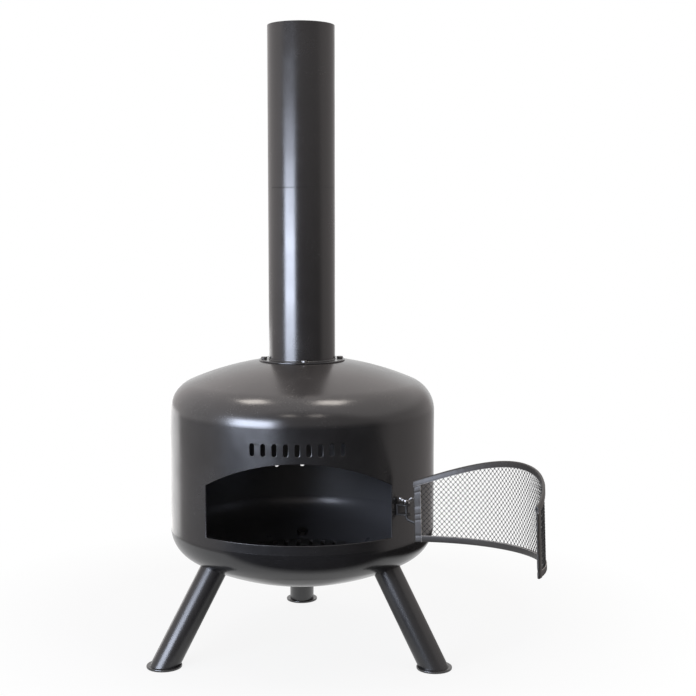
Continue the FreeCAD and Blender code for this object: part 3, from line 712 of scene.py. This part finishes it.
def door_top(along):
    """Height of the door's arched top at a distance along the flat door."""
    across = door_radius * math.sin((along - door_middle) / door_radius)
    middle_height = door_low + door_side_height + door_arch_rise - door_arch_radius
    return middle_height + math.sqrt(door_arch_radius ** 2 - across ** 2)


def hung_open(bm):
    """Rolls a flat piece of the door to its curve and swings it open about the pin."""
    rolled(bm, door_radius)
    opening = Matrix.Rotation(door_open_turn, 3, pin_axis)
    bmesh.ops.rotate(bm, verts=bm.verts[:], cent=pin_place, matrix=opening)
    bm.normal_update()


def folded_strip(width, length, cuts):
    """Straight strip along X, folded over an edge at Z = 0 with both leaves hanging below it."""
    bm = bmesh.new()
    outer = door_half_depth
    inner = door_half_depth - strip_thickness
    outside = [(outer, -width), (outer, sheared_edge - width), (outer, -outer)]
    outside += [(outer * fold_bulge, -outer * fold_drop)]
    inside = [(inner, -outer), (inner, -width)]
    far_outside = [(-depth, height) for depth, height in reversed(outside)]
    far_inside = [(-depth, height) for depth, height in reversed(inside)]
    outline = outside + [(0, 0)] + far_outside + far_inside + [(0, -strip_thickness)] + inside
    loop_edges(bm, [bm.verts.new((0, depth, height)) for depth, height in outline])
    walls = bmesh.ops.extrude_edge_only(bm, edges=bm.edges[:])["geom"]
    far_end = [item for item in walls if isinstance(item, bmesh.types.BMVert)]
    bmesh.ops.translate(bm, verts=far_end, vec=(length, 0, 0))
    lengthwise = [edge for edge in bm.edges if abs(edge.verts[0].co.x - edge.verts[1].co.x) > length / 2]
    bmesh.ops.subdivide_edges(bm, edges=lengthwise, cuts=cuts, use_grid_fill=True)
    bmesh.ops.holes_fill(bm, edges=bm.edges[:])
    closed_up(bm)
    # Painted highlight: the points on the leaf's inner edge are marked for a pale band that stands in for the
    # light this edge catches.
    scale_and_edge_highlight = bm.verts.layers.float.new("scale_and_edge_highlight")
    for vert in bm.verts:
        vert[scale_and_edge_highlight] = 1 if vert.co.z < sheared_edge / 2 - width else 0
    return bm


def crimped(bm, depth, pitch):
    """Presses narrow dents at uneven steps into both leaves of a strip."""
    for vert in bm.verts:
        along = vert.co.x / pitch + crimp_wander * math.sin(crimp_wander_rate * vert.co.x / pitch)
        dent = math.cos(math.pi * along) ** crimp_sharpness
        if abs(vert.co.y) > middle_plane:
            vert.co.y -= math.copysign(depth * dent, vert.co.y)


def strip_paint(name, colour, edge_highlight_tone):
    """Stove paint on a folded strip, with a painted highlight: a pale band along its inner edge, broken up by
    noise.
    """
    material = stove_paint(name, colour, strip_coat)
    tree = material.node_tree
    film = next(node for node in tree.nodes if node.type == "GROUP")
    place = put(tree, "TexCoord").outputs["Object"]
    edge_breaks = put(tree, "TexNoise", Vector=place, Scale=edge_break_scale, Detail=3).outputs[0]
    scale_and_edge_highlight = put(tree, "Attribute", {"attribute_name": "scale_and_edge_highlight"}).outputs["Fac"]
    share = calculated(tree, "MULTIPLY", scale_and_edge_highlight, spread(tree, edge_breaks, *edge_break_limits, least_edge_highlight, 1))
    tree.links.new(blended(tree, share, colour, edge_highlight_tone), film.inputs["Color"])
    return material


strip_finish = strip_paint("door_strip_paint", strip_black, edge_highlight_grey)
rail_start = door_free_end + stile_width
rail_length = door_hinge_end - door_free_end - 2 * stile_width

top_rail = folded_strip(rail_width, door_hinge_end - door_free_end, rail_cuts)
crimped(top_rail, **rail_crimps)
for vert in top_rail.verts:
    vert.co.x += door_free_end
    vert.co.z += door_top(vert.co.x)
hung_open(top_rail)
made_piece(
    "door_top_strip", top_rail, "spark_door", strip_finish, ["door_top_rail"],
    strip_sharp_angle,
)

bottom_rail = folded_strip(rail_width, rail_length, rail_cuts)
crimped(bottom_rail, **rail_crimps)
upside_down = Matrix.Rotation(math.pi, 3, "X")
bmesh.ops.rotate(bottom_rail, verts=bottom_rail.verts[:], cent=(0, 0, 0), matrix=upside_down)
bmesh.ops.translate(bottom_rail, verts=bottom_rail.verts[:], vec=(rail_start, 0, door_low))
hung_open(bottom_rail)
made_piece(
    "door_bottom_strip", bottom_rail, "spark_door", strip_finish, ["door_bottom_rail"],
    strip_sharp_angle,
)


def upright_stile(end, inwards, name, node):
    """Strip folded over one end of the door, from the lower edge to the top strip."""
    height = door_top(end) - rail_width - door_low
    bm = folded_strip(stile_width, height, stile_cuts)
    crimped(bm, **stile_crimps)
    on_end = Matrix.Rotation(math.radians(-90), 3, "Y")
    bmesh.ops.rotate(bm, verts=bm.verts[:], cent=(0, 0, 0), matrix=on_end)
    for vert in bm.verts:
        vert.co.x *= inwards
        share = vert.co.z / height
        vert.co.x += end
        vert.co.z = door_low + share * (door_top(vert.co.x) - rail_width - door_low)
    closed_up(bm)
    hung_open(bm)
    made_piece(name, bm, "spark_door", strip_finish, [node], strip_sharp_angle)


upright_stile(door_hinge_end, -1, "door_hinge_strip", "door_hinge_stile")
upright_stile(door_free_end, 1, "door_free_strip", "door_free_stile")

# Door mesh
# Plain woven steel wire on the bias, held by its edge in the folded strips.
# Every wire passes over and under its neighbours, and the black paint gathers where two wires cross.
wire_radius = 0.0004
wire_pitch = 0.0066
wire_sides = 5
wire_crimp = 0.00047
rings_per_pitch = 4
knot_swell = 0.85
knot_sharpness = 4
mesh_edge = 0.0055
half_pitches = 55
weave_half = half_pitches * wire_pitch
wire_sharp_angle = 80
wire_black = (0.014, 0.0138, 0.0135, 1)
wire_gloss = 0.35
wire_paling = 1.9
scale_size = 900
scale_limits = (0.4, 0.7)
wire_roughness = (0.5, 0.36)
smoke_scale = 24
smoke_limits = (0.45, 0.7)
smoke_share = 0.6


def in_frame(point):
    """True for a place on the flat door that the folded strips leave open or grip."""
    if not door_free_end + mesh_edge < point.x < door_hinge_end - mesh_edge:
        return False
    return door_low + mesh_edge < point.z < door_top(point.x) - mesh_edge


def bias_wires(bm, lean):
    """Straight wires on the bias over the whole door, with a ring of points every quarter of the pitch."""
    along = Vector((1, 0, lean)).normalized()
    across = Vector((-lean, 0, 1)).normalized()
    first = Vector((door_middle, 0, door_low)) - along * weave_half
    tilt = Vector((0, 0, 1)).rotation_difference(along).to_matrix().to_4x4()
    ring = {"segments": wire_sides, "radius": wire_radius, "matrix": Matrix.Translation(first) @ tilt}
    wire = bmesh.new()
    bmesh.ops.create_circle(wire, **ring)
    walls = bmesh.ops.extrude_edge_only(wire, edges=wire.edges[:])["geom"]
    far_end = [item for item in walls if isinstance(item, bmesh.types.BMVert)]
    bmesh.ops.translate(wire, verts=far_end, vec=along * 2 * weave_half)
    lengthwise = [edge for edge in wire.edges if edge.calc_length() > weave_half]
    ring_count = 2 * half_pitches * rings_per_pitch - 1
    bmesh.ops.subdivide_edges(wire, edges=lengthwise, cuts=ring_count, use_grid_fill=True)
    cut = bpy.data.meshes.new("cut_wire")
    for index in range(-half_pitches, half_pitches + 1):
        laid = wire.copy()
        bmesh.ops.translate(laid, verts=laid.verts[:], vec=across * index * wire_pitch)
        outside = [vert for vert in laid.verts if not in_frame(vert.co)]
        bmesh.ops.delete(laid, geom=outside, context="VERTS")
        for vert in laid.verts:
            offset = vert.co - Vector((door_middle, 0, door_low))
            rise = math.cos(math.pi * (offset.x + offset.z) / math.sqrt(2) / wire_pitch)
            rise *= math.cos(math.pi * (offset.z - offset.x) / math.sqrt(2) / wire_pitch)
            swell = knot_swell * rise ** knot_sharpness
            vert.co += across * (offset.dot(across) - index * wire_pitch) * swell
            vert.co.y += vert.co.y * swell - lean * wire_crimp * rise
        laid.to_mesh(cut)
        laid.free()
        bm.from_mesh(cut)
    wire.free()
    bpy.data.meshes.remove(cut)


def woven_wire(name, colour):
    """Blackened wire with paler, smoother flecks of scale and darker patches of smoke."""
    material = bpy.data.materials.new(name)
    material.use_nodes = True
    tree = material.node_tree
    shader = tree.nodes["Principled BSDF"]
    place = put(tree, "TexCoord").outputs["Object"]
    scale = put(tree, "TexNoise", Vector=place, Scale=scale_size, Detail=3).outputs[0]
    smoke = put(tree, "TexNoise", Vector=place, Scale=smoke_scale, Detail=4).outputs[0]
    pale = tuple(wire_paling * part for part in colour[:3]) + (1,)
    scale_and_edge_highlight = blended(tree, spread(tree, scale, *scale_limits, 0, 1), colour, pale)
    smoked = blended(tree, spread(tree, smoke, *smoke_limits, 0, smoke_share), scale_and_edge_highlight, stove_black)
    tree.links.new(smoked, shader.inputs["Base Color"])
    tree.links.new(spread(tree, scale, *middle_of_noise, *wire_roughness), shader.inputs["Roughness"])
    shader.inputs["Specular IOR Level"].default_value = wire_gloss
    return material


weave = bmesh.new()
for lean in (1, -1):
    bias_wires(weave, lean)
hung_open(weave)
wire_finish = woven_wire("mesh_wire", wire_black)
made_piece("door_woven_mesh", weave, "spark_door", wire_finish, ["door_mesh"], wire_sharp_angle)

# Studio
# The object stands on white paper with a front edge, in a white sweep, before a dim room and a dim floor.
# A wide cool softbox with a fainter rim stands to the front left, and a low panel lights the left side from
# behind. Four warm panels hang under the ceiling.
floor_radius = 0.85
floor_segments = 96
floor_grey = (0.5, 0.5, 0.5, 1)
floor_centre = Vector((0, 0.2, -0.0004))
floor_fade = (0.45, 0.8)
sheet_front = (-0.34, -0.24)
sheet_slant = -0.2
sheet_right = (0.38, 0.46)
# Radii and share of the painted shadow that darkens the mirrored paper under the drum.
drum_shadow_reach = (0.08, 0.22)
drum_shadow_share = 0.38
floor_shadow_share = 0.12
softbox_azimuth = math.radians(-39)
softbox_distance = 2.0
softbox_height = 0.645
softbox_size = (1.25, 0.65)
softbox_power = 42
softbox_rim_height = 0.75
softbox_rim_size = (1.7, 0.9)
softbox_rim_power = 8.8
softbox_colour = (0.76, 0.83, 1.0)
side_panel_place = (-1.15, 1.64, 0.08)
side_panel_size = (1.6, 0.7)
side_panel_power = 5.2
side_panel_colour = (1, 1, 1)
side_panel_target = (0, 0, 0.5)
ceiling_height = 2.55
ceiling_lamp_places = ((-1.0, -0.1), (0.62, -0.33), (0.8, -3.0), (-0.55, -3.0))
ceiling_lamp_size = (0.6, 0.6)
ceiling_lamp_powers = (8.4, 7.8, 4.0, 3.0)
ceiling_lamp_colour = (1.0, 0.93, 0.86)
white_surround = (0.98, 0.93, 0.92, 1)
right_side = (0.62, 0.58, 0.575, 1)
left_floor = (0.5, 0.475, 0.47, 1)
right_floor = (0.46, 0.43, 0.425, 1)
dim_room = (0.44, 0.412, 0.405, 1)
dim_floor = (0.04, 0.038, 0.0375, 1)
sweep_pull_up = 0.8
sweep_pull_left = -0.4
sweep_pull_right = 0.3
sweep_edge = (-0.2, 0.2)
room_horizon = (-0.2, 0.15)
right_side_edge = (0.1, 0.6)
right_side_top = (0.45, 0.15)
sweep_floor_edge = (0, -0.15)
left_floor_end = -0.6
right_floor_end = 0.4
straight_behind_edge = (0.85, 0.98)


def stage_floor():
    """Disc under the object, white to the camera apart from a faint shadow.

    Mirrored in the object, it is white where the paper lies and dim elsewhere, and a painted shadow darkens
    it under the drum."""
    bm = bmesh.new()
    middle = Matrix.Translation(floor_centre)
    bmesh.ops.create_circle(bm, cap_ends=True, segments=floor_segments, radius=floor_radius, matrix=middle)
    mesh = bpy.data.meshes.new("studio_floor")
    bm.to_mesh(mesh)
    bm.free()
    floor = bpy.data.objects.new("studio_floor", mesh)
    bpy.context.scene.collection.objects.link(floor)
    material = bpy.data.materials.new("studio_floor")
    material.use_nodes = True
    tree = material.node_tree
    tree.nodes.clear()
    place = put(tree, "TexCoord").outputs["Object"]
    from_middle = put(tree, "VectorMath", {"operation": "DISTANCE"}, Vector=place)
    from_middle.inputs[1].default_value = floor_centre
    lift = spread(tree, from_middle.outputs["Value"], *floor_fade, 1 - floor_shadow_share, 1)
    path = put(tree, "LightPath")
    mirrored = calculated(tree, "ADD", path.outputs["Is Glossy Ray"], path.outputs["Is Transmission Ray"])
    spot = put(tree, "SeparateXYZ", Vector=place)
    into_sheet = calculated(tree, "MULTIPLY_ADD", spot.outputs["X"], sheet_slant, spot.outputs["Y"])
    sheet = spread(tree, into_sheet, *sheet_front, 0, 1)
    sheet = calculated(tree, "MULTIPLY", sheet, spread(tree, spot.outputs["X"], *sheet_right, 1, 0))
    # Painted shadow: in reflections the paper darkens towards the drum's axis, as if it lay in the drum's
    # shadow.
    from_axis = put(tree, "VectorMath", {"operation": "LENGTH"}, Vector=place).outputs["Value"]
    sheet = calculated(tree, "MULTIPLY", sheet, spread(tree, from_axis, *drum_shadow_reach, drum_shadow_share, 1))
    seen = calculated(tree, "MULTIPLY_ADD", mirrored, sheet, path.outputs["Is Camera Ray"])
    share = calculated(tree, "MULTIPLY", seen, lift)
    paper = put(tree, "BsdfDiffuse", Color=blended(tree, mirrored, floor_grey, dim_floor))
    glow = put(tree, "Emission", Color=(1, 1, 1, 1), Strength=1)
    mixed = put(tree, "MixShader")
    tree.links.new(share, mixed.inputs[0])
    tree.links.new(paper.outputs[0], mixed.inputs[1])
    tree.links.new(glow.outputs[0], mixed.inputs[2])
    output = put(tree, "OutputMaterial")
    tree.links.new(mixed.outputs[0], output.inputs["Surface"])
    mesh.materials.append(material)


def eased_share(tree, value, low, high):
    """Output that goes softly from 0 to 1 as a value goes from a low to a high limit."""
    return put(
        tree, "MapRange", {"interpolation_type": "SMOOTHSTEP"}, Value=value, From_Min=low, From_Max=high,
    ).outputs["Result"]


def studio_surround():
    """World, white to the camera, and to the object a white sweep with greyer sides and a dim front."""
    world = bpy.data.worlds.new("studio")
    world.use_nodes = True
    tree = world.node_tree
    tree.nodes.clear()
    way = put(tree, "SeparateXYZ", Vector=put(tree, "TexCoord").outputs["Generated"])
    above = calculated(tree, "MAXIMUM", way.outputs["Z"], 0)
    pull_left = calculated(tree, "MULTIPLY", way.outputs["X"], sweep_pull_left)
    pull_right = calculated(tree, "MULTIPLY", way.outputs["X"], sweep_pull_right)
    to_left = calculated(tree, "MAXIMUM", pull_left, 0)
    to_right = calculated(tree, "MAXIMUM", pull_right, 0)
    towards_white = calculated(tree, "MULTIPLY_ADD", above, sweep_pull_up, way.outputs["Y"])
    towards_white = calculated(tree, "ADD", towards_white, calculated(tree, "ADD", to_left, to_right))
    share = eased_share(tree, towards_white, *sweep_edge)
    front = blended(tree, eased_share(tree, way.outputs["Z"], *room_horizon), dim_floor, dim_room)
    low_right = eased_share(tree, way.outputs["X"], *right_side_edge)
    low_right = calculated(tree, "MULTIPLY", low_right, eased_share(tree, way.outputs["Z"], *right_side_top))
    sweep = blended(tree, low_right, white_surround, right_side)
    low = eased_share(tree, way.outputs["Z"], *sweep_floor_edge)
    for side_end, floor_colour in ((left_floor_end, left_floor), (right_floor_end, right_floor)):
        side = eased_share(tree, way.outputs["X"], 0, side_end)
        sweep = blended(tree, calculated(tree, "MULTIPLY", low, side), sweep, floor_colour)
    room = blended(tree, share, front, sweep)
    path = put(tree, "LightPath")
    mirrored = calculated(tree, "ADD", path.outputs["Is Glossy Ray"], path.outputs["Is Transmission Ray"])
    straight_behind = eased_share(tree, way.outputs["Y"], *straight_behind_edge)
    seen = calculated(tree, "MULTIPLY_ADD", mirrored, straight_behind, path.outputs["Is Camera Ray"])
    colour = blended(tree, seen, room, (1, 1, 1, 1))
    back = put(tree, "Background", Color=colour, Strength=1)
    output = put(tree, "OutputWorld")
    tree.links.new(back.outputs[0], output.inputs["Surface"])
    bpy.context.scene.world = world


def area_lamp(name, place, target, size, power, colour):
    """Flat lamp that faces a target."""
    lamp = bpy.data.lights.new(name, "AREA")
    lamp.shape = "RECTANGLE"
    lamp.size, lamp.size_y = size
    lamp.energy = power
    lamp.color = colour
    holder = bpy.data.objects.new(name, lamp)
    holder.location = place
    holder.rotation_mode = "QUATERNION"
    holder.rotation_quaternion = (Vector(target) - Vector(place)).to_track_quat("-Z", "Y")
    bpy.context.scene.collection.objects.link(holder)


stage_floor()
studio_surround()
softbox_side = softbox_distance * math.sin(softbox_azimuth)
softbox_front = -softbox_distance * math.cos(softbox_azimuth)
softbox_layers = (("softbox", softbox_height, softbox_size, softbox_power),
                  ("softbox_rim", softbox_rim_height, softbox_rim_size, softbox_rim_power))
for name, height, size, power in softbox_layers:
    area_lamp(name, (softbox_side, softbox_front, height), (0, 0, height), size, power, softbox_colour)
area_lamp(
    "side_panel", side_panel_place, side_panel_target, side_panel_size, side_panel_power, side_panel_colour,
)
for (across, along), power in zip(ceiling_lamp_places, ceiling_lamp_powers):
    place = (across, along, ceiling_height)
    area_lamp("ceiling_lamp", place, (across, along, 0), ceiling_lamp_size, power, ceiling_lamp_colour)

# Camera
# It stands in front, a little to the right, level with the lower flue pipe, and looks slightly down.
# Its lens and place are fitted to the drum's outlines, so that the object fills the height of the picture.
camera_place = (0.0869, -2.412, 0.8094)
camera_dip = 5.63
camera_sensor = 36
camera_lens = 66.25
camera = bpy.data.cameras.new("camera")
camera.sensor_width = camera_sensor
camera.lens = camera_lens
camera_holder = bpy.data.objects.new("camera", camera)
camera_holder.location = camera_place
camera_holder.rotation_euler = (math.radians(90 - camera_dip), 0, 0)
bpy.context.scene.collection.objects.link(camera_holder)
bpy.context.scene.camera = camera_holder
bpy.context.scene.view_settings.view_transform = "Standard"
